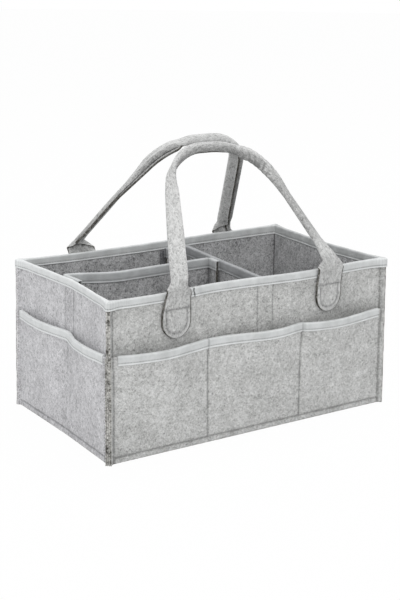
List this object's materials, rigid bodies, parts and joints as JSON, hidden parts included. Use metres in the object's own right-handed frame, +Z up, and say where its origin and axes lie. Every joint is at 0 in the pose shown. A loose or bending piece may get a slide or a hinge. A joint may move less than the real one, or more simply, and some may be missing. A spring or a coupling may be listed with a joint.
{
  "type": "felt nappy caddy",
  "caption": "Open felt caddy box with outer pockets on every side, a removable T-shaped divider and soft rolled felt handles that lean over the middle.",
  "frame": {"origin": "middle of the caddy's underside, on the surface that it stands on", "axes": "+X along the long sides, +Y from the front long side to the back one, +Z up"},
  "size_m": [0.3882, 0.2509, 0.3226],
  "materials": {
    "felt": "light grey melange felt, matt and slightly hairy",
    "pocket_felt": "light grey melange felt, thinner, matt",
    "inner_felt": "grey melange felt, matt",
    "tape": "pale cool grey woven binding tape, slight sheen",
    "hook_and_loop": "grey hook and loop tape",
    "filler_cord": "undyed cotton filler cord"
  },
  "bodies": {
    "shell": {"front_wall": "felt", "right_wall": "felt", "back_wall": "felt", "left_wall": "felt", "rim_binding": "tape", "front_pockets": "pocket_felt", "front_pockets_binding": "tape", "right_pocket": "pocket_felt", "right_pocket_binding": "tape", "back_pockets": "pocket_felt", "back_pockets_binding": "tape", "left_pocket": "pocket_felt", "left_pocket_binding": "tape", "base_panel": "inner_felt", "front_loop_strip": "hook_and_loop", "back_loop_strip": "hook_and_loop", "left_loop_strip": "hook_and_loop", "front_handle_left_tab": "felt", "front_handle_right_tab": "felt", "back_handle_left_tab": "felt", "back_handle_right_tab": "felt"},
    "front_handle": {"front_handle_cover": "felt", "front_handle_core": "filler_cord"},
    "back_handle": {"back_handle_cover": "felt", "back_handle_core": "filler_cord"},
    "cross_divider": {"cross_divider": "inner_felt", "cross_divider_binding": "tape", "cross_front_hook_strip": "hook_and_loop", "cross_back_hook_strip": "hook_and_loop", "cross_loop_strip": "hook_and_loop"},
    "long_divider": {"long_divider": "inner_felt", "long_divider_binding": "tape", "long_left_hook_strip": "hook_and_loop", "long_right_hook_strip": "hook_and_loop"}
  },
  "joints": [
    {"name": "front_handle_swing", "type": "hinge", "parent": "shell", "child": "front_handle", "pos_m": [0, -0.11734, 0.189], "axis": [1, 0, 0], "range_deg": [-10, 195]},
    {"name": "back_handle_swing", "type": "hinge", "parent": "shell", "child": "back_handle", "pos_m": [0, 0.11427, 0.189], "axis": [-1, 0, 0], "range_deg": [-11, 195]},
    {"name": "cross_divider_lift", "type": "slide", "parent": "shell", "child": "cross_divider", "axis": [0, 0, 1], "range_m": [0, 0.085]},
    {"name": "long_divider_lift", "type": "slide", "parent": "shell", "child": "long_divider", "axis": [0, 0, 1], "range_m": [0, 0.085]}
  ]
}
